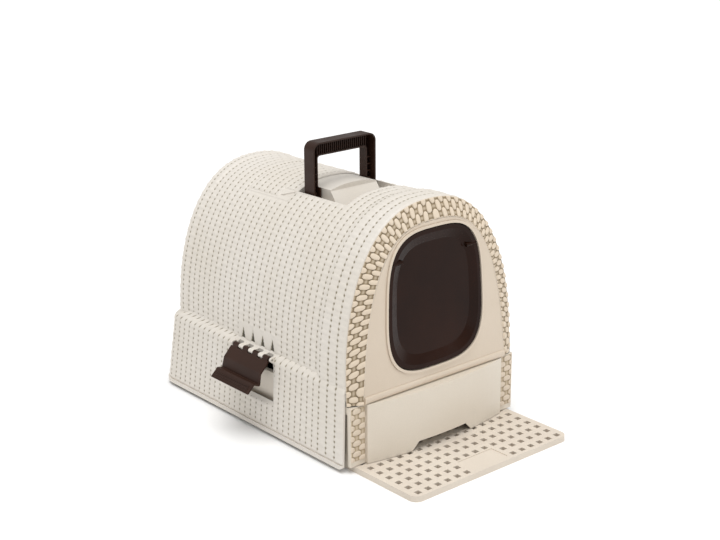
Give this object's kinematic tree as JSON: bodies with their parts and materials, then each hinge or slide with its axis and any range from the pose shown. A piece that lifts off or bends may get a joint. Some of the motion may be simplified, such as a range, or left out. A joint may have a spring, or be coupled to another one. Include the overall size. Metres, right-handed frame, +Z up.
{
  "type": "hooded cat litter box",
  "caption": "Hooded cat litter box: open tray on a pull-out paw mat, lift-off woven-look hood, smoked swing flap, folding handle and side latches.",
  "frame": {"origin": "on the floor under the middle of the object's box", "axes": "+Z up, the entrance and the paw mat face -Y, +X to the right of someone behind the object"},
  "size_m": [0.4706, 0.659, 0.472],
  "materials": {
    "woven_plastic": "moulded wicker weave, satin",
    "smooth_plastic": "smooth satin",
    "mat_plastic": "matt",
    "brown_plastic": "satin, dark brown",
    "smoked_plastic": "glossy smoked brown, slightly see-through",
    "carbon_pad": "black felt",
    "steel": "plain wire"
  },
  "bodies": {
    "tray": {"tray": "smooth_plastic"},
    "mat": {"paw_mat": "mat_plastic"},
    "hood": {"hood_shell": "woven_plastic", "front_panel": "smooth_plastic", "door_bezel": "smooth_plastic", "door_pin_left": "steel", "door_pin_right": "steel", "handle_pin_left": "steel", "handle_pin_right": "steel", "latch_rod_left": "steel", "latch_rod_right": "steel"},
    "door": {"door_flap": "smoked_plastic"},
    "handle": {"carry_handle": "brown_plastic"},
    "latch_left": {"latch_left": "brown_plastic"},
    "latch_right": {"latch_right": "brown_plastic"},
    "filter_lid": {"filter_lid": "woven_plastic", "filter_basket": "smooth_plastic", "filter_pad": "carbon_pad"}
  },
  "joints": [
    {"name": "hood_lift", "type": "slide", "parent": "tray", "child": "hood", "axis": [0, 0, 1], "range_m": [0, 0.1565]},
    {"name": "mat_slide", "type": "slide", "parent": "tray", "child": "mat", "axis": [0, 1, 0], "range_m": [-0.06, 0.12]},
    {"name": "latch_left_hinge", "type": "hinge", "parent": "hood", "child": "latch_left", "pos_m": [-0.186, 0.052, 0.137], "axis": [0, -1, 0], "range_deg": [-50, 43]},
    {"name": "latch_right_hinge", "type": "hinge", "parent": "hood", "child": "latch_right", "pos_m": [0.186, 0.052, 0.137], "axis": [0, 1, 0], "range_deg": [-50, 43]},
    {"name": "handle_fold", "type": "hinge", "parent": "hood", "child": "handle", "pos_m": [0, 0.042, 0.382], "axis": [1, 0, 0], "range_deg": [0, 90]},
    {"name": "door_swing", "type": "hinge", "parent": "hood", "child": "door", "pos_m": [0, -0.1866, 0.323], "axis": [1, 0, 0], "range_deg": [-80, 80]},
    {"name": "filter_lid_lift", "type": "slide", "parent": "hood", "child": "filter_lid", "axis": [0, 0, 1], "range_m": [0, 0.06]}
  ]
}
